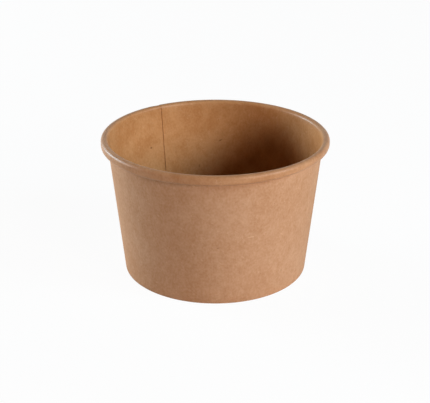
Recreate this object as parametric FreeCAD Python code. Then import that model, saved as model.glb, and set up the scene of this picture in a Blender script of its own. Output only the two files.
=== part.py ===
"""A round paper tub of the kind that ice cream is served in, standing open and empty.

The tub is made of two pieces of kraft board, as the real one is:

    side_wall    one sheet, wrapped into a cone and glued in a lap seam, its top edge rolled outwards into
                 a rim and its bottom edge folded in and up into a hem
    floor_disc   a round disc with a skirt turned down all round, gripped between the wall and the hem

All sizes are in millimetres. The origin is on the table under the middle of the tub, and +Z is up.
A section is drawn in the XZ plane, with X as the radius, and is then turned about Z.
"""

import FreeCAD, Part
import math
import os

from FreeCAD import Vector

# Overall sizes
tub_height = 60.0
rim_diameter = 97.0
foot_diameter = 79.5

# Board
wall_board = 0.40
floor_board = 0.36

# Rolled rim: its width runs from the inside of the wall to the outer edge of the roll
roll_width = 3.1
roll_height = 3.75
roll_gap = 0.10
roll_tail_shrink = 0.34
roll_tail_turn = math.radians(105)

# Foot: the wall's bottom edge folds in and up round the skirt of the floor
floor_height = 6.6
floor_corner_radius = 1.0
hem_length = 4.9
fold_inside_radius = 0.05
glue_line = 0.05
skirt_clearance = 0.15

# Lap seam: the edge seen inside the tub stands at seam_angle, and the lap lies clockwise of it
seam_angle = math.radians(122.8)
seam_lap = 7.0
seam_ramp = 5.0
seam_fade_height = 5.5
ramp_steps = 4

UP = Vector(0, 0, 1)
CENTRE = Vector(0, 0, 0)

rim_radius = rim_diameter / 2
foot_radius = foot_diameter / 2
roll_radius = roll_width / 2
fold_radius = wall_board + fold_inside_radius

# The wall's outer face runs from the foot's corner and passes under the roll's top arc
roll_centre = Vector(rim_radius - roll_radius, 0, tub_height - roll_radius)
foot_corner = Vector(foot_radius, 0, 0)
lean = math.atan2(roll_centre.x - foot_corner.x, roll_centre.z) - math.asin(
    (roll_radius - wall_board) / roll_centre.distanceToPoint(foot_corner)
)
along_wall = Vector(math.sin(lean), 0, math.cos(lean))
inwards = Vector(-math.cos(lean), 0, math.sin(lean))

# The roll's lower arc ends beside the wall, and its tail turns on inside the roll
lower_radius = (
    (rim_radius - foot_radius) * math.cos(lean) - (tub_height - roll_height) * math.sin(lean) - roll_gap
) / (1 + math.cos(lean) + math.sin(lean))
lower_centre = Vector(rim_radius - lower_radius, 0, tub_height - roll_height + lower_radius)
tail_radius = lower_radius - roll_tail_shrink
tail_centre = lower_centre + inwards * roll_tail_shrink

# The hem stands inside the wall by both boards and the skirt with its two glue lines
skirt_slot = floor_board + 2 * glue_line
hem_depth = skirt_slot + 2 * wall_board


def fold_centre(depth):
    """Centre of a fold whose middle lies at this depth from the wall's outer face, one radius above the table."""
    return Vector(foot_radius + (fold_radius * math.sin(lean) - depth) / math.cos(lean), 0, fold_radius)


outer_fold_centre = fold_centre(fold_radius)
inner_fold_centre = fold_centre(hem_depth - fold_radius)


def polar(centre, radius, angle):
    """The point at this radius and angle from a centre, in the section plane."""
    return centre + Vector(math.cos(angle), 0, math.sin(angle)) * radius


def arc(centre, radius, start, end):
    """An arc edge about a centre, from one angle to another."""
    points = [polar(centre, radius, start + (end - start) * share) for share in (0, 0.5, 1)]
    return Part.Arc(*points).toShape()


def line(start, end):
    """A straight edge."""
    return Part.LineSegment(start, end).toShape()


def wall_point(height, depth):
    """The point of the wall at this height of its outer face, set in from there by a depth."""
    return foot_corner + along_wall * (height / math.cos(lean)) + inwards * depth


def rim_edges(depth):
    """Edges of one face of the rolled rim, from the wall to the tail's end, at a depth under the inner face."""
    to_wall = math.pi - lean
    outermost = roll_radius - depth
    return [
        arc(roll_centre, outermost, to_wall, 0),
        line(polar(roll_centre, outermost, 0), polar(lower_centre, lower_radius - depth, 0)),
        arc(lower_centre, lower_radius - depth, 0, to_wall - 2 * math.pi),
        arc(tail_centre, tail_radius - depth, to_wall, to_wall - roll_tail_turn),
    ]


def foot_edges(depth):
    """Edges of one face of the hem and the fold under the wall, from the hem's end to the wall."""
    radius = fold_inside_radius + depth
    across = -math.pi - lean
    hem_start = polar(inner_fold_centre, radius, across)
    return [
        line(hem_start + along_wall * hem_length, hem_start),
        arc(inner_fold_centre, radius, across, -math.pi / 2),
        line(polar(inner_fold_centre, radius, -math.pi / 2), polar(outer_fold_centre, radius, -math.pi / 2)),
        arc(outer_fold_centre, radius, -math.pi / 2, -lean),
    ]


def face_edges(depth, recess):
    """Edges of one face of the sheet from the hem's end to the rolled tail.

    depth is how far the face lies behind the inner face of the board, and recess how far the board itself
    has moved out to climb over the seam, which starts at nothing at the fold.
    """
    foot = foot_edges(depth)
    rim = rim_edges(depth + recess)
    fade = wall_point(seam_fade_height, wall_board - depth - recess)
    wall_start = foot[-1].valueAt(foot[-1].LastParameter)
    wall_end = rim[0].valueAt(rim[0].FirstParameter)
    return foot + [line(wall_start, fade), line(fade, wall_end)] + rim


def ends(edges):
    """First and last point of a run of edges."""
    return edges[0].valueAt(edges[0].FirstParameter), edges[-1].valueAt(edges[-1].LastParameter)


def strip_wire(inner, outer):
    """Closed outline between two faces of a sheet that run the same way."""
    inner_start, inner_end = ends(inner)
    outer_start, outer_end = ends(outer)
    return Part.Wire(inner + [line(inner_end, outer_end)] + outer[::-1] + [line(outer_start, inner_start)])


def sheet_wire(recess=0.0):
    """Outline of the wall's board in section."""
    return strip_wire(face_edges(0, recess), face_edges(wall_board, recess))


def turned(shape, angle):
    """A copy of a section shape, turned about the tub's axis."""
    copy = shape.copy()
    copy.rotate(CENTRE, UP, math.degrees(angle))
    return copy


def swept(wire, start, sweep):
    """Solid of a section turned about the tub's axis from one angle through a sweep."""
    return Part.Face(turned(wire, start)).revolve(CENTRE, UP, math.degrees(sweep))


def side_wall():
    """The wall with its rim, its hem and its lap seam, as one solid."""
    lap_angle = seam_lap / rim_radius
    ramp_angle = seam_ramp / rim_radius
    ramp_end = seam_angle + ramp_angle

    once_round = swept(sheet_wire(), ramp_end, 2 * math.pi - ramp_angle)

    stations = [step / ramp_steps for step in range(ramp_steps + 1)]
    ramp_wires = [
        turned(sheet_wire(wall_board * (1 + math.cos(math.pi * share)) / 2), seam_angle + ramp_angle * share)
        for share in stations
    ]
    ramp = Part.makeLoft(ramp_wires, True, True)

    def outer_layer_face(depth):
        fold_end = ends(foot_edges(depth))[1]
        rim = rim_edges(depth)
        return [line(fold_end, ends(rim)[0])] + rim

    lap_wire = strip_wire(outer_layer_face(wall_board), outer_layer_face(2 * wall_board))
    lap = swept(lap_wire, seam_angle - lap_angle, lap_angle)
    return once_round.fuse([ramp, lap]).removeSplitter()


def floor_disc():
    """The floor with its rounded corner and the skirt that the foot grips."""
    skirt_outer = wall_board + glue_line
    corner_depth = skirt_outer + floor_corner_radius
    corner_z = floor_height - floor_corner_radius
    corner_x = foot_radius + (corner_z * math.sin(lean) - corner_depth) / math.cos(lean)
    corner_centre = Vector(corner_x, 0, corner_z)
    inside_radius = floor_corner_radius - floor_board
    skirt_end = fold_radius + skirt_clearance
    outer_end = wall_point(skirt_end, skirt_outer)
    inner_end = outer_end + inwards * floor_board

    top = Vector(0, 0, floor_height)
    under = Vector(0, 0, floor_height - floor_board)
    outer_arc = arc(corner_centre, floor_corner_radius, math.pi / 2, -lean)
    inner_arc = arc(corner_centre, inside_radius, -lean, math.pi / 2)
    outer_from, outer_to = ends([outer_arc])
    inner_from, inner_to = ends([inner_arc])
    outline = [
        line(top, outer_from),
        outer_arc,
        line(outer_to, outer_end),
        line(outer_end, inner_end),
        line(inner_end, inner_from),
        inner_arc,
        line(inner_to, under),
        line(under, top),
    ]
    return Part.Face(Part.Wire(outline)).revolve(CENTRE, UP, 360)


os.makedirs("parts", exist_ok=True)
for node, shape in {"side_wall": side_wall(), "floor_disc": floor_disc()}.items():
    solids = shape.Solids
    print(node, "solids", len(solids), "valid", shape.isValid(), "volume", round(shape.Volume, 2))
    shape.exportStep(f"parts/{node}.step")
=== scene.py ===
"""A paper ice cream tub in plain brown kraft board, standing open and empty in a pale studio."""

import math

import bpy
from bpy.props import FloatProperty, FloatVectorProperty, IntProperty, PointerProperty
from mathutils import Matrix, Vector


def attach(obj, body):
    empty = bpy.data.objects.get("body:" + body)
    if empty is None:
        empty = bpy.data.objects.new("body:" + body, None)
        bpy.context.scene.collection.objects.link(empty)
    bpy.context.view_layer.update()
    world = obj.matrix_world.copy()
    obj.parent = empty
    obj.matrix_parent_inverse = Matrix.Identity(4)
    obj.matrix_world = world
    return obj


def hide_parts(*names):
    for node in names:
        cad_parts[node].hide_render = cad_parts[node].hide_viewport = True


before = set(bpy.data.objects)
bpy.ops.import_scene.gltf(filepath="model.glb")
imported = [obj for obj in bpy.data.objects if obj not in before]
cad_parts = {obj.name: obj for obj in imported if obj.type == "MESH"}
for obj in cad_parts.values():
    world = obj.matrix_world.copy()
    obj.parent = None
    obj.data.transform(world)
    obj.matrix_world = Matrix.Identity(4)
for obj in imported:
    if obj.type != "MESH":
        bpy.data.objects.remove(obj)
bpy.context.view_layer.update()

bl_info = {
    "name": "Paper ice cream tub",
    "version": (1, 0, 0),
    "blender": (4, 5, 0),
    "location": "View3D > Sidebar > Paper Tub",
    "description": "Makes a kraft board ice cream tub with a rolled rim, a lap seam and a folded foot",
    "category": "Mesh",
}

MM = 0.001
CENTRE = Vector((0, 0, 0))

# How the sections are divided
HEM_ROWS = 6
FOLD_ROWS = 4
WALL_ROWS = 26
ROLL_ROWS = 14
TAIL_ROWS = 6
TAPER_ROWS = 2
FLOOR_ROWS = 16
CORNER_ROWS = 8
SKIRT_ROWS = 5
RIB_COLUMNS = 4
SMOOTH_ANGLE = math.radians(40)
SAME_PLACE = 0.01 * MM

# The board's pattern, from its widest changes of tone to its finest grain. Clouds and grain are taller
# than they are wide, and all of it shows more in green and blue than in red.
TONE_SIZE = 26 * MM
PATCH_SIZE = 9 * MM
CLOUD_SIZE = 3.4 * MM
GRAIN_SIZE = 0.85 * MM
CLOUD_HEIGHT = 1.25
TONE_SHARE = 1.0
PATCH_SHARE = 1.6
CLOUD_SHARE = 1.2
GRAIN_SHARE = 1.5
MOTTLE_BY_CHANNEL = (1, 1.6, 2.35)

# Loose fibres and bark specks on the board
PALE_FIBRE_SIZE = 2.2 * MM
DARK_FIBRE_SIZE = 2.6 * MM
FIBRE_WIDTH = 0.02
FIBRE_COVER = 0.14
FIBRE_STRENGTH = 0.16
DARK_FIBRE_HEIGHT = 0.9
DARK_FIBRE_GAIN = (0.6, 0.5, 0.4)
SPECK_SPACING = 5 * MM
SPECK_EDGE = (0.02, 0.05)
SPECK_CHANCE = (0.52, 0.56)
SPECK_STRENGTH = 0.5
BARK = (0.12, 0.05, 0.018)

# The few single marks that stand out: angle round the tub, radius, height, half width and half height,
# tilt, strength and colour
PALE = (0.85, 0.62, 0.42)
INSIDE_MARKS = (
    (132.4, 45.4, 41.6, (0.8, 0.6), 0, 0.8, BARK),
    (86.7, 45.4, 41.3, (1.3, 0.5), -35, 0.6, BARK),
    (100.1, 43.5, 29.0, (0.4, 1.2), 0, 0.35, BARK),
)
OUTSIDE_MARKS = (
    (-70.6, 43.4, 30.9, (1.6, 0.25), 0, 0.28, PALE),
    (-88.6, 43.0, 26.8, (0.5, 0.4), 0, 0.3, BARK),
    (-47.9, 41.0, 10.8, (0.5, 0.4), 0, 0.3, BARK),
)
MARK_DEPTH = 3 * MM
MARK_EDGE = (0.5, 1.2)
RAGGED_SIZE = 0.4 * MM
RAGGED_SHARE = 0.8

# The board's relief: its depth, how strongly it shows and what each pattern adds to it
RELIEF = 0.03 * MM
BUMP_STRENGTH = 0.35
GRAIN_RELIEF = 0.6
CLOUD_RELIEF = 0.8
FIBRE_RELIEF = 0.15
WRINKLE_RELIEF = 0.2
ROUGHNESS_SPREAD = 0.2

# The rim's shine starts this far inside the roll's inner side and is full this far outside it. Its fine
# wrinkles are a share of the rim's radius. Stretched flat, a place keeps only its way from the tub's axis.
SHINE_STARTS = 0.15 * MM
SHINE_FULL = 0.1 * MM
WRINKLE_SIZE = 0.016
FLAT = (1, 1, 1e6)

# Plies and loose fluff in the board's cut edge
PLY_SIZE = 0.12 * MM
PLY_SHARE = 2.0
FLUFF_SIZE = 0.8 * MM
FLUFF_SHARE = 1.5
EDGE_DARK_GAIN = (0.7, 0.66, 0.6)
EDGE_LIGHT_GAIN = (1.15, 1.2, 1.25)
EDGE_ROUGHNESS = 0.9
EDGE_SPECULAR = 0.2
EDGE_BUMP = 0.5

# The studio floor's depth, and the size and greys of the faint patches in its tone
FLOOR_DEPTH = 20 * MM
DUST_SIZE = 0.4
FLOOR_GREYS = (0.84, 0.86)

# The camera's sensor, in Blender's own millimetres, and how near it sees
SENSOR_WIDTH = 36
NEAREST = 10 * MM


def length(label, note, value):
    """A length property in metres."""
    return FloatProperty(name=label, description=note, default=value, unit="LENGTH", precision=5)


def angle(label, note, degrees):
    """An angle property, given in degrees."""
    return FloatProperty(name=label, description=note, default=math.radians(degrees), subtype="ANGLE")


def share(label, note, value):
    """A property between 0 and 1."""
    return FloatProperty(name=label, description=note, default=value, min=0, max=1, subtype="FACTOR")


def colour(label, note, value):
    """A colour property, as linear red, green and blue."""
    return FloatVectorProperty(name=label, description=note, default=value, subtype="COLOR", min=0, max=1)


def power(label, note, watts):
    """A lamp's power property."""
    return FloatProperty(name=label, description=note, default=watts, min=0, unit="POWER")


class TubSizes(bpy.types.PropertyGroup):
    """Sizes of the tub's board, rim, foot and seam."""

    height: length("Height", "From the table to the top of the rim", 60 * MM)
    rim_diameter: length("Rim", "Across the outside of the rolled rim", 97 * MM)
    foot_diameter: length("Foot", "Across the outside of the foot", 79.5 * MM)
    wall_board: length("Wall board", "Thickness of the wall's board", 0.40 * MM)
    floor_board: length("Floor board", "Thickness of the floor's board", 0.36 * MM)
    roll_width: length("Roll width", "From the inside of the wall to the outer edge of the roll", 3.1 * MM)
    roll_height: length("Roll height", "From the top of the rim to the roll's lower edge", 3.75 * MM)
    roll_uneven: length("Uneven roll", "How much deeper the roll is on one side than on the other", 0.9 * MM)
    roll_deep_side: angle("Deep side", "Where the roll is deepest, from the X axis", -140)
    roll_gap: length("Roll gap", "Between the roll and the wall under it", 0.10 * MM)
    tail_shrink: length("Tail shrink", "How much tighter the roll's hidden tail turns", 0.34 * MM)
    tail_turn: angle("Tail turn", "How far the roll's hidden tail turns", 105)
    fold_radius: length("Fold radius", "Inside radius of the fold at the foot", 0.05 * MM)
    hem_length: length("Hem", "Height of the hem inside the foot", 4.9 * MM)
    rib_depth: length("Ribs", "Depth of the ribs pressed into the hem", 0.12 * MM)
    glue_line: length("Glue line", "Clearance on each side of the floor's skirt", 0.05 * MM)
    floor_height: length("Floor height", "From the table to the top of the floor at its edge", 6.6 * MM)
    floor_bow: length("Floor bow", "How far the floor rises in its middle", 0.25 * MM)
    floor_corner: length("Floor corner", "Outside radius where the floor turns down", 1.0 * MM)
    skirt_clearance: length("Skirt clearance", "From the skirt's end to the fold", 0.15 * MM)
    seam_angle: angle("Seam", "Where the lap's inner edge stands, from the X axis", 122.8)
    seam_lap: length("Lap", "How far the two ends of the wall lap, measured at the rim", 7.0 * MM)
    seam_ramp: length("Ramp", "Over how far the wall climbs on to the lap, at the rim", 5.0 * MM)
    seam_fade: length("Fade", "Height at which the wall has climbed on to the lap", 5.5 * MM)
    seam_step: length("Seam step", "How far the pressed lap steps in at its edge", 0.28 * MM)
    rim_step: share("Rim step", "Share of that step that is left where the lap is rolled into the rim", 0.55)
    columns: IntProperty(name="Columns", description="Columns of faces round the tub", default=392, min=24)


class TubColours(bpy.types.PropertyGroup):
    """Colours and finish of the board."""

    outside: colour("Outside", "Bare kraft board on the outside", (0.455, 0.251, 0.139))
    lining: colour("Lining", "Kraft board under its clear lining", (0.458, 0.225, 0.091))
    rim: colour("Rim", "The lined board where it is stretched into the rim", (0.41, 0.203, 0.093))
    cut_edge: colour("Cut edge", "Raw edge of the board", (0.50, 0.29, 0.16))
    bark: colour("Bark", "Dark flecks of bark in the board", BARK)
    pale_fibre: colour("Pale fibre", "Bleached fibres that lie on the surface", (0.80, 0.56, 0.36))
    outside_roughness: share("Outside roughness", "Roughness of the bare board", 0.85)
    lining_roughness: share("Lining roughness", "Roughness of the lined board", 0.45)
    outside_specular: share("Outside specular", "Specular level of the bare board", 0.15)
    lining_specular: share("Lining specular", "Specular level of the lined board", 0.05)
    rim_gloss: share("Rim gloss", "How strongly the lining shines where it is rolled into the rim", 0.4)
    rim_roughness: share("Rim roughness", "Roughness of that shine", 0.42)
    mottle: share("Mottle", "How strongly the board's clouds and grain show", 0.096)


class StudioSettings(bpy.types.PropertyGroup):
    """Camera, lamps and floor."""

    camera_distance: length("Camera distance", "From the camera to the point it looks at", 0.4588)
    camera_elevation: angle("Camera elevation", "How far the camera stands above the horizon", 23.535)
    target_height: length("Target height", "Height of the point that the camera looks at", 28.78 * MM)
    target_side: length("Target side", "How far that point lies to the right of the axis", -0.116 * MM)
    lens: FloatProperty(
        name="Lens", description="Focal length on a 36 mm wide sensor", default=88.0, unit="CAMERA"
    )
    lamp_distance: length("Lamp distance", "From each lamp to the tub", 1.3)
    lamp_size: length("Lamp size", "Across each lamp's round face", 0.48)
    lamp_aim: length("Lamp aim", "Height of the point that the lamps look at", 35 * MM)
    key_power: power("Key lamp", "The soft high lamp on the right", 11.75)
    front_power: power("Front lamp", "The soft low lamp on the front right", 11.1)
    fill_power: power("Fill lamp", "The low lamp behind on the left", 17.0)
    side_power: power("Side lamp", "The weak low lamp on the left", 7.0)
    warm: colour("Warm light", "Tint of the front and side lamps", (1.0, 0.79, 0.67))
    cool: colour("Cool light", "Tint of the key and fill lamps", (0.66, 0.87, 1.0))
    ambient: share("Ambient", "Light that comes evenly from all round", 0.0)
    backdrop: share("Backdrop", "How much of the floor shows as plain white rather than lit", 0.95)
    floor_size: length("Floor", "Side of the square floor", 4.0)


def deselect_all():
    """Leaves nothing selected, so that an operator acts on the new piece alone."""
    bpy.ops.object.select_all(action="DESELECT")


def edit(piece):
    """Goes into edit mode on a piece, with its points as the thing selected."""
    bpy.context.view_layer.objects.active = piece
    bpy.ops.object.mode_set(mode="EDIT")
    bpy.ops.mesh.select_mode(type="VERT")


def select_points(piece, chosen):
    """Goes into edit mode with only these points of a piece selected, by their numbers."""
    edit(piece)
    bpy.ops.mesh.select_all(action="DESELECT")
    bpy.ops.object.mode_set(mode="OBJECT")
    for number in chosen:
        piece.data.vertices[number].select = True
    bpy.ops.object.mode_set(mode="EDIT")


def start_section(name, point):
    """Starts a piece in edit mode as one point of its section."""
    deselect_all()
    bpy.ops.mesh.primitive_plane_add(size=MM, location=point)
    piece = bpy.context.object
    piece.name = name
    piece.data.name = name
    bpy.ops.object.transform_apply(location=True, rotation=True, scale=True)
    edit(piece)
    bpy.ops.mesh.select_all(action="SELECT")
    bpy.ops.mesh.merge(type="CENTER")
    return piece


def draw_line(start, end, pieces=1):
    """Carries the section on from its last point in a straight line."""
    step = (end - start) / pieces
    for _ in range(pieces):
        bpy.ops.mesh.extrude_vertices_move(TRANSFORM_OT_translate={"value": step})
    return end


def draw_arc(centre, start, turn, pieces):
    """Carries the section on round a centre. A positive turn goes from +X towards +Z."""
    bpy.ops.mesh.spin(steps=pieces, angle=turn, center=centre, axis=(0, 1, 0))
    arm = start - centre
    c, s = math.cos(turn), math.sin(turn)
    return centre + Vector((arm.x * c - arm.z * s, 0, arm.x * s + arm.z * c))


def points_drawn(piece):
    """How many points the section has so far, while still in edit mode."""
    piece.update_from_editmode()
    return len(piece.data.vertices)


class Section:
    """Places that the wall's and the floor's sections share, in the XZ plane."""

    def __init__(self, sizes):
        board = sizes.wall_board
        rim_radius = sizes.rim_diameter / 2
        foot_radius = sizes.foot_diameter / 2
        self.roll_radius = sizes.roll_width / 2
        self.roll_centre = Vector((rim_radius - self.roll_radius, 0, sizes.height - self.roll_radius))
        self.foot_corner = Vector((foot_radius, 0, 0))
        span = self.roll_centre - self.foot_corner
        self.lean = math.atan2(span.x, span.z) - math.asin((self.roll_radius - board) / span.length)
        c, s = math.cos(self.lean), math.sin(self.lean)
        self.up_wall = Vector((s, 0, c))
        self.inwards = Vector((-c, 0, s))
        drop = sizes.height - sizes.roll_height + sizes.roll_uneven / 2
        self.lower_radius = ((rim_radius - foot_radius) * c - drop * s - sizes.roll_gap) / (1 + c + s)
        self.lower_centre = Vector((rim_radius - self.lower_radius, 0, drop + self.lower_radius))
        self.fold_outside = board + sizes.fold_radius

    def on_wall(self, height, depth):
        """The point at this height of the wall's outer face, and this deep in from it."""
        return self.foot_corner + self.up_wall * (height / math.cos(self.lean)) + self.inwards * depth

    def fold_centre(self, depth):
        """Centre of a fold at this depth from the wall's outer face, one fold radius above the table."""
        shift = (self.fold_outside * math.sin(self.lean) - depth) / math.cos(self.lean)
        return Vector((self.foot_corner.x + shift, 0, self.fold_outside))


def face_lining(piece, inside_point):
    """Turns the sheet's normals so that its lined face looks towards a point."""
    edit(piece)
    bpy.ops.mesh.select_all(action="SELECT")
    bpy.ops.mesh.normals_make_consistent(inside=False)
    bpy.ops.object.mode_set(mode="OBJECT")
    largest = max(piece.data.polygons, key=lambda face: face.area)
    if largest.normal.dot(inside_point - largest.center) < 0:
        bpy.ops.object.mode_set(mode="EDIT")
        bpy.ops.mesh.flip_normals()
        bpy.ops.object.mode_set(mode="OBJECT")


def push(piece, name, weights, distance, direction="NORMAL"):
    """Pushes points away from the lined side, or down along Z, each by its own share of a distance."""
    group = piece.vertex_groups.new(name=name)
    for number, weight in weights.items():
        group.add([number], weight, "REPLACE")
    press = piece.modifiers.new(name, "DISPLACE")
    press.vertex_group = name
    press.direction = direction
    press.mid_level = 0
    press.strength = -distance
    bpy.ops.object.modifier_apply(modifier=name)


def finish_board(piece, thickness, materials):
    """Gives a sheet its board: lining on the drawn face, kraft behind it and cut edges round it."""
    for material in materials:
        piece.data.materials.append(material)
    board = piece.modifiers.new("board", "SOLIDIFY")
    board.thickness = thickness
    board.offset = -1
    board.use_even_offset = True
    board.material_offset = 1
    board.material_offset_rim = 2
    bpy.ops.object.modifier_apply(modifier=board.name)
    bpy.ops.object.shade_smooth_by_angle(angle=SMOOTH_ANGLE)


def smoothstep(value):
    """Eases from 0 to 1."""
    value = min(max(value, 0), 1)
    return value * value * (3 - 2 * value)


class Value:
    """A node's output, on which Python's operators build Math nodes."""

    def __init__(self, paint, socket):
        self.paint = paint
        self.socket = socket

    def math(self, operation, *values):
        return self.paint.node("ShaderNodeMath", {"operation": operation}, dict(enumerate(values)))

    def __add__(self, other):
        return self.math("ADD", self, other)

    def __sub__(self, other):
        return self.math("SUBTRACT", self, other)

    def __rsub__(self, other):
        return self.math("SUBTRACT", other, self)

    def __mul__(self, other):
        return self.math("MULTIPLY", self, other)

    def __abs__(self):
        return self.math("ABSOLUTE", self)

    __radd__ = __add__
    __rmul__ = __mul__


class Paint:
    """One node tree, of a material or of the world."""

    def __init__(self, owner):
        owner.use_nodes = True
        self.owner = owner
        self.tree = owner.node_tree
        self.tree.nodes.clear()

    def node(self, kind, settings=None, inputs=None, output=0):
        """Adds a node with its settings first, then values or links for its sockets, by name or number."""
        node = self.tree.nodes.new(kind)
        for name, value in (settings or {}).items():
            setattr(node, name, value)
        for name, value in (inputs or {}).items():
            if isinstance(value, Value):
                self.tree.links.new(value.socket, node.inputs[name])
            else:
                node.inputs[name].default_value = value
        return Value(self, node.outputs[output]) if node.outputs else node

    def place(self, stretch=(1, 1, 1)):
        """Object coordinates, with a pattern's size along each axis."""
        coordinates = self.node("ShaderNodeTexCoord", output="Object")
        inputs = {"Vector": coordinates, "Scale": stretch}
        return self.node("ShaderNodeMapping", {"vector_type": "TEXTURE"}, inputs)

    def noise(self, place, size, detail=2.0, distortion=0.0):
        """Soft noise between about 0.3 and 0.7, with lumps of this size."""
        inputs = {"Vector": place, "Scale": 1 / size, "Detail": detail, "Distortion": distortion}
        return self.node("ShaderNodeTexNoise", None, inputs)

    def step(self, value, low, high):
        """Eases from 0 to 1 as a value goes from low to high."""
        inputs = {"Value": value, "From Min": low, "From Max": high}
        return self.node("ShaderNodeMapRange", {"interpolation_type": "SMOOTHSTEP"}, inputs)

    def mix(self, factor, first, second):
        """Mixes two colours."""
        return self.node("ShaderNodeMix", {"data_type": "RGBA"}, {0: factor, 6: first, 7: second}, 2)

    def strands(self, place, size):
        """Short thin winding strands, where two noises cross their middle values."""
        run = self.noise(place, size, 1.0, 0.6)
        patch = self.noise(place, size * 1.7, 0.0)
        return (1 - self.step(abs(run - 0.5), 0, FIBRE_WIDTH)) * self.step(patch, 0.5, 0.5 + FIBRE_COVER)

    def mark(self, turn, reach, height, size, tilt):
        """A soft-edged spot on the wall: its angle round the tub, radius, height, half sizes and tilt."""
        spot = Vector((reach * math.cos(turn), reach * math.sin(turn), height))
        near = self.node(
            "ShaderNodeMapping",
            {"vector_type": "TEXTURE"},
            {
                "Vector": self.node("ShaderNodeTexCoord", output="Object"),
                "Location": spot,
                "Rotation": (0, -tilt, turn + math.pi / 2),
                "Scale": (size[0], MARK_DEPTH, size[1]),
            },
        )
        away = self.node("ShaderNodeVectorMath", {"operation": "LENGTH"}, {0: near}, "Value")
        ragged = away + (self.noise(self.place(), RAGGED_SIZE, 1.0) - 0.5) * RAGGED_SHARE
        return 1 - self.step(ragged, *MARK_EDGE)


def opaque(rgb, gain=(1, 1, 1)):
    """A colour with full alpha, each channel multiplied by its gain."""
    return tuple(min(channel * factor, 1) for channel, factor in zip(rgb, gain)) + (1,)


def board_material(name, colours, lined, marks=(), rim=None):
    """Kraft board: clouds, fine upright grain, pale and dark fibres, bark specks and single marks.

    rim gives the radii between which the lining takes on the rim's tone.
    """
    base, roughness, specular = (
        (colours.lining, colours.lining_roughness, colours.lining_specular)
        if lined
        else (colours.outside, colours.outside_roughness, colours.outside_specular)
    )
    paint = Paint(bpy.data.materials.new(name))
    place = paint.place()
    upright = paint.place((1, 1, CLOUD_HEIGHT))

    tone = paint.noise(place, TONE_SIZE, 1.0)
    cloud = paint.noise(upright, CLOUD_SIZE, 2.0)
    grain = paint.noise(upright, GRAIN_SIZE, 3.0)
    shade = 0.5 + (tone - 0.5) * TONE_SHARE + (cloud - 0.5) * CLOUD_SHARE + (grain - 0.5) * GRAIN_SHARE
    if lined:
        shade = shade + (paint.noise(place, PATCH_SIZE, 1.0, 0.5) - 0.5) * PATCH_SHARE
    mottle = [colours.mottle * more for more in MOTTLE_BY_CHANNEL]

    def clouded(tint):
        dark, light = ([1 + side * depth for depth in mottle] for side in (-1, 1))
        return paint.mix(shade, opaque(tint, dark), opaque(tint, light))

    surface = clouded(base)
    if rim is not None:
        around = paint.place(FLAT)
        reach = paint.node("ShaderNodeVectorMath", {"operation": "LENGTH"}, {0: around}, "Value")
        on_rim = paint.step(reach, *rim)
        shine = paint.step(reach, rim[0] - SHINE_STARTS, rim[0] + SHINE_FULL)
        surface = paint.mix(on_rim, surface, clouded(colours.rim))

    pale_strands = paint.strands(place, PALE_FIBRE_SIZE)
    dark_strands = paint.strands(paint.place((1, 1, DARK_FIBRE_HEIGHT)), DARK_FIBRE_SIZE)
    surface = paint.mix(pale_strands * FIBRE_STRENGTH, surface, opaque(colours.pale_fibre))
    surface = paint.mix(dark_strands * FIBRE_STRENGTH, surface, opaque(base, DARK_FIBRE_GAIN))

    cells = paint.node("ShaderNodeTexVoronoi", None, {"Vector": place, "Scale": 1 / SPECK_SPACING})
    chance = paint.noise(place, PATCH_SIZE, 0.0)
    specks = (1 - paint.step(cells, *SPECK_EDGE)) * paint.step(chance, *SPECK_CHANCE)
    surface = paint.mix(specks * SPECK_STRENGTH, surface, opaque(colours.bark))
    for turn, reach, height, half_sizes, tilt, strength, ink in marks:
        half_sizes = [size * MM for size in half_sizes]
        spot = paint.mark(math.radians(turn), reach * MM, height * MM, half_sizes, math.radians(tilt))
        surface = paint.mix(spot * strength, surface, opaque(ink))

    relief = grain * GRAIN_RELIEF + cloud * CLOUD_RELIEF + pale_strands * FIBRE_RELIEF
    if rim is not None:
        direction = paint.node("ShaderNodeVectorMath", {"operation": "NORMALIZE"}, {0: around})
        wrinkles = paint.noise(direction, WRINKLE_SIZE, 2.0)
        relief = relief + wrinkles * shine * WRINKLE_RELIEF
    bump = {"Strength": BUMP_STRENGTH, "Distance": RELIEF, "Height": relief}
    normal = paint.node("ShaderNodeBump", None, bump, "Normal")
    paint.node(
        "ShaderNodeOutputMaterial",
        None,
        {
            "Surface": paint.node(
                "ShaderNodeBsdfPrincipled",
                None,
                {
                    "Base Color": surface,
                    "Roughness": roughness + (cloud - 0.5) * ROUGHNESS_SPREAD,
                    "Specular IOR Level": specular,
                    "Coat Weight": 0.0 if rim is None else shine * colours.rim_gloss,
                    "Coat Roughness": colours.rim_roughness,
                    "Normal": normal,
                },
            )
        },
    )
    return paint.owner


def edge_material(name, base):
    """The raw cut edge of the board: fine plies with loose fibre."""
    paint = Paint(bpy.data.materials.new(name))
    place = paint.place()
    plies = paint.noise(place, PLY_SIZE, 2.0)
    fluff = paint.noise(place, FLUFF_SIZE, 3.0)
    shade = 0.5 + (plies - 0.5) * PLY_SHARE + (fluff - 0.5) * FLUFF_SHARE
    surface = paint.mix(shade, opaque(base, EDGE_DARK_GAIN), opaque(base, EDGE_LIGHT_GAIN))
    relief = {"Strength": EDGE_BUMP, "Distance": RELIEF, "Height": plies}
    normal = paint.node("ShaderNodeBump", None, relief, "Normal")
    shader = paint.node(
        "ShaderNodeBsdfPrincipled",
        None,
        {
            "Base Color": surface,
            "Roughness": EDGE_ROUGHNESS,
            "Specular IOR Level": EDGE_SPECULAR,
            "Normal": normal,
        },
    )
    paint.node("ShaderNodeOutputMaterial", None, {"Surface": shader})
    return paint.owner


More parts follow.
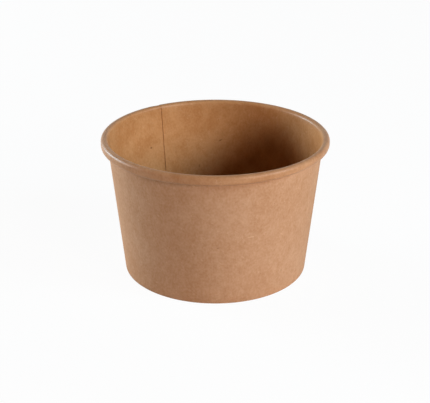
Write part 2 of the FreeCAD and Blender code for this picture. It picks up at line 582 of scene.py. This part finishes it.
def seen_directly(paint):
    """1 for rays from the camera and rays that it sees by reflection or through glass, else 0."""
    camera, glossy, glass = (
        paint.node("ShaderNodeLightPath", output=f"Is {kind} Ray")
        for kind in ("Camera", "Glossy", "Transmission")
    )
    return paint.step(camera + glossy + glass, 0, 1)


class TUB_OT_wall(bpy.types.Operator):
    """Make the wall: one sheet with its hem, its lap seam and its rolled rim."""

    bl_idname = "tub.wall"
    bl_label = "Wall"

    def execute(self, context):
        sizes = context.scene.tub_sizes
        colours = context.scene.tub_colours
        section = Section(sizes)
        lean = section.lean
        hem_depth = sizes.floor_board + 2 * sizes.glue_line + 2 * sizes.wall_board
        inner_fold = section.fold_centre(hem_depth - section.fold_outside)
        outer_fold = section.fold_centre(section.fold_outside)
        hem_foot = inner_fold + section.inwards * sizes.fold_radius
        hem_top = hem_foot + section.up_wall * sizes.hem_length

        piece = start_section("tub_wall", hem_top)
        point = draw_line(hem_top, hem_foot, HEM_ROWS)
        point = draw_arc(inner_fold, point, math.pi / 2 + lean, FOLD_ROWS)
        point = draw_line(point, outer_fold - Vector((0, 0, sizes.fold_radius)))
        point = draw_arc(outer_fold, point, math.pi / 2 - lean, FOLD_ROWS)
        foot_rows = points_drawn(piece)
        wall_top = section.roll_centre + section.inwards * section.roll_radius
        point = draw_line(point, wall_top, WALL_ROWS)
        wall_rows = points_drawn(piece)
        point = draw_arc(section.roll_centre, point, lean - math.pi, ROLL_ROWS)
        point = draw_line(point, section.lower_centre + Vector((section.lower_radius, 0, 0)), TAPER_ROWS)
        point = draw_arc(section.lower_centre, point, -math.pi - lean, ROLL_ROWS)
        tail_centre = section.lower_centre + section.inwards * sizes.tail_shrink
        draw_arc(tail_centre, point, -sizes.tail_turn, TAIL_ROWS)
        rows = points_drawn(piece)

        # The sheet starts at the seam, goes once round clockwise and laps over its own start
        step = 2 * math.pi / sizes.columns
        lap_columns = round(2 * sizes.seam_lap / sizes.rim_diameter / step)
        steps = sizes.columns + lap_columns
        bpy.ops.mesh.select_all(action="SELECT")
        bpy.ops.transform.rotate(
            value=-sizes.seam_angle, orient_axis="Z", orient_type="GLOBAL", center_override=CENTRE
        )
        bpy.ops.mesh.spin(steps=steps, angle=steps * step, center=CENTRE, axis=(0, 0, 1))
        bpy.ops.object.mode_set(mode="OBJECT")
        face_lining(piece, Vector((0, 0, sizes.height / 2)))

        ramp_columns = 2 * sizes.seam_ramp / sizes.rim_diameter / step
        climb, ribs, droop = {}, {}, {}
        for vertex in piece.data.vertices:
            column, row = divmod(vertex.index, rows)
            up = smoothstep((column - sizes.columns + ramp_columns) / ramp_columns)
            if row < foot_rows:
                up = 1 if column > sizes.columns else 0
            elif row >= wall_rows:
                up *= sizes.rim_step
            elif column <= sizes.columns:
                up *= min(vertex.co.z / sizes.seam_fade, 1)
            if up > 0:
                climb[vertex.index] = up
            if 0 < row < HEM_ROWS:
                ribs[vertex.index] = (1 + math.cos(2 * math.pi * column / RIB_COLUMNS)) / 2
            if row > wall_rows + ROLL_ROWS:
                around = math.atan2(vertex.co.y, vertex.co.x) - sizes.roll_deep_side
                droop[vertex.index] = (1 + math.cos(around)) / 2
        push(piece, "ribs", ribs, sizes.rib_depth)
        push(piece, "climb", climb, sizes.seam_step)
        push(piece, "droop", droop, sizes.roll_uneven, "Z")

        # The lap starts above the fold, and the foot closes into a ring
        last = sizes.columns * rows
        under_lap = [n for n in range(last + rows, (steps + 1) * rows) if n % rows < foot_rows - 1]
        select_points(piece, under_lap)
        bpy.ops.mesh.delete(type="VERT")
        bpy.ops.object.mode_set(mode="OBJECT")
        select_points(piece, (*range(foot_rows), *range(last, last + foot_rows)))
        bpy.ops.mesh.remove_doubles(threshold=SAME_PLACE)
        bpy.ops.object.mode_set(mode="OBJECT")

        finish_board(
            piece,
            sizes.wall_board,
            [
                board_material(
                    "wall lining",
                    colours,
                    lined=True,
                    marks=INSIDE_MARKS,
                    rim=(section.roll_centre.x - section.roll_radius, section.roll_centre.x),
                ),
                board_material("wall kraft", colours, lined=False, marks=OUTSIDE_MARKS),
                edge_material("wall cut edge", colours.cut_edge),
            ],
        )
        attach(piece, "root")
        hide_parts("side_wall")
        return {"FINISHED"}


class TUB_OT_floor(bpy.types.Operator):
    """Make the floor: a disc with its skirt turned down into the foot."""

    bl_idname = "tub.floor"
    bl_label = "Floor"

    def execute(self, context):
        sizes = context.scene.tub_sizes
        colours = context.scene.tub_colours
        section = Section(sizes)
        depth = sizes.wall_board + sizes.glue_line
        corner_z = sizes.floor_height - sizes.floor_corner
        shift = (corner_z * math.sin(section.lean) - depth - sizes.floor_corner) / math.cos(section.lean)
        corner = Vector((section.foot_corner.x + shift, 0, corner_z))
        bow_radius = (corner.x**2 + sizes.floor_bow**2) / (2 * sizes.floor_bow)
        middle = Vector((0, 0, sizes.floor_height + sizes.floor_bow))

        piece = start_section("tub_floor", middle)
        bow_centre = middle - Vector((0, 0, bow_radius))
        point = draw_arc(bow_centre, middle, -math.asin(corner.x / bow_radius), FLOOR_ROWS)
        point = draw_arc(corner, point, -math.pi / 2 - section.lean, CORNER_ROWS)
        draw_line(point, section.on_wall(section.fold_outside + sizes.skirt_clearance, depth), SKIRT_ROWS)
        bpy.ops.mesh.select_all(action="SELECT")
        bpy.ops.mesh.spin(steps=sizes.columns, angle=2 * math.pi, center=CENTRE, axis=(0, 0, 1))
        bpy.ops.mesh.select_all(action="SELECT")
        bpy.ops.mesh.remove_doubles(threshold=SAME_PLACE)
        bpy.ops.object.mode_set(mode="OBJECT")
        face_lining(piece, Vector((0, 0, sizes.height)))
        finish_board(
            piece,
            sizes.floor_board,
            [
                board_material("floor lining", colours, lined=True),
                board_material("floor kraft", colours, lined=False),
                edge_material("floor cut edge", colours.cut_edge),
            ],
        )
        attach(piece, "root")
        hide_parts("floor_disc")
        return {"FINISHED"}


class TUB_OT_studio(bpy.types.Operator):
    """Make the studio: floor, lamps and camera."""

    bl_idname = "tub.studio"
    bl_label = "Studio"

    def execute(self, context):
        studio = context.scene.tub_studio
        self.make_floor(studio)
        self.make_world(context.scene, studio)

        # Each lamp: degrees round from the front to the right, degrees above the floor, power and tint
        for name, around, above, watts, tint in (
            ("key_lamp", 68, 30, studio.key_power, studio.cool),
            ("front_lamp", 39, 18, studio.front_power, studio.warm),
            ("fill_lamp", 242, 12, studio.fill_power, studio.cool),
            ("side_lamp", 260, 12, studio.side_power, studio.warm),
        ):
            self.hang_lamp(name, math.radians(around), math.radians(above), watts, tint, studio)

        deselect_all()
        target = Vector((studio.target_side, 0, studio.target_height))
        back = Vector((0, -math.cos(studio.camera_elevation), math.sin(studio.camera_elevation)))
        bpy.ops.object.camera_add(location=target + back * studio.camera_distance)
        camera = context.object
        camera.name = "camera"
        camera.rotation_euler = (math.pi / 2 - studio.camera_elevation, 0, 0)
        camera.data.lens = studio.lens
        camera.data.sensor_width = SENSOR_WIDTH
        camera.data.clip_start = NEAREST
        context.scene.camera = camera
        context.scene.view_settings.view_transform = "Standard"
        return {"FINISHED"}

    def make_floor(self, studio):
        """A slab with its top at the table's height, which looks white but takes the tub's shadow."""
        deselect_all()
        bpy.ops.mesh.primitive_plane_add(size=studio.floor_size, location=CENTRE)
        floor = bpy.context.object
        floor.name = "studio_floor"
        edit(floor)
        bpy.ops.mesh.select_all(action="SELECT")
        bpy.ops.mesh.extrude_region_move(TRANSFORM_OT_translate={"value": (0, 0, -FLOOR_DEPTH)})
        bpy.ops.mesh.select_all(action="SELECT")
        bpy.ops.mesh.normals_make_consistent(inside=False)
        bpy.ops.object.mode_set(mode="OBJECT")

        paint = Paint(bpy.data.materials.new("studio floor"))
        dust = paint.noise(paint.place(), DUST_SIZE, 2.0)
        dark, light = (opaque([grey] * 3) for grey in FLOOR_GREYS)
        lit = paint.node(
            "ShaderNodeBsdfPrincipled",
            None,
            {
                "Base Color": paint.mix(dust, dark, light),
                "Roughness": 1.0,
                "Specular IOR Level": 0.0,
            },
        )
        white = paint.node("ShaderNodeEmission", None, {"Color": (1, 1, 1, 1), "Strength": 1.0})
        factor = seen_directly(paint) * studio.backdrop
        shader = paint.node("ShaderNodeMixShader", None, {0: factor, 1: lit, 2: white})
        paint.node("ShaderNodeOutputMaterial", None, {"Surface": shader})
        floor.data.materials.append(paint.owner)

    def make_world(self, scene, studio):
        """A world that is seen as white, and lights the tub only with the ambient share."""
        paint = Paint(bpy.data.worlds.new("studio"))
        dim = paint.node("ShaderNodeBackground", None, {"Strength": studio.ambient})
        white = paint.node("ShaderNodeBackground", None, {"Color": (1, 1, 1, 1), "Strength": 1.0})
        shader = paint.node("ShaderNodeMixShader", None, {0: seen_directly(paint), 1: dim, 2: white})
        paint.node("ShaderNodeOutputWorld", None, {"Surface": shader})
        scene.world = paint.owner

    def hang_lamp(self, name, around, above, watts, tint, studio):
        """Hangs a soft round lamp at these angles, turned to the tub and unseen by the camera."""
        deselect_all()
        level = math.cos(above)
        away = Vector((math.sin(around) * level, -math.cos(around) * level, math.sin(above)))
        aim = Vector((0, 0, studio.lamp_aim))
        bpy.ops.object.light_add(type="AREA", location=aim + away * studio.lamp_distance)
        lamp = bpy.context.object
        lamp.name = name
        lamp.rotation_euler = away.to_track_quat("Z", "Y").to_euler()
        lamp.visible_camera = False
        lamp.data.shape = "DISK"
        lamp.data.size = studio.lamp_size
        lamp.data.energy = watts
        lamp.data.color = tint


class TUB_PT_panel(bpy.types.Panel):
    """The tub's sizes, colours and studio in the sidebar."""

    bl_idname = "TUB_PT_panel"
    bl_label = "Paper Tub"
    bl_space_type = "VIEW_3D"
    bl_region_type = "UI"
    bl_category = "Paper Tub"

    def draw(self, context):
        for group in GROUPS:
            box = self.layout.box()
            settings = getattr(context.scene, group)
            for name in settings.bl_rna.properties.keys():
                if name not in ("rna_type", "name"):
                    box.prop(settings, name)
        for operator in OPERATORS:
            self.layout.operator(operator.bl_idname)


GROUPS = {"tub_sizes": TubSizes, "tub_colours": TubColours, "tub_studio": StudioSettings}
OPERATORS = (TUB_OT_wall, TUB_OT_floor, TUB_OT_studio)


def register():
    for name, group in GROUPS.items():
        bpy.utils.register_class(group)
        setattr(bpy.types.Scene, name, PointerProperty(type=group))
    for cls in (*OPERATORS, TUB_PT_panel):
        bpy.utils.register_class(cls)


def unregister():
    for cls in reversed((*OPERATORS, TUB_PT_panel)):
        bpy.utils.unregister_class(cls)
    for name, group in GROUPS.items():
        delattr(bpy.types.Scene, name)
        bpy.utils.unregister_class(group)


def main():
    register()
    bpy.ops.tub.wall()
    bpy.ops.tub.floor()
    bpy.ops.tub.studio()


if __name__ == "__main__":
    main()
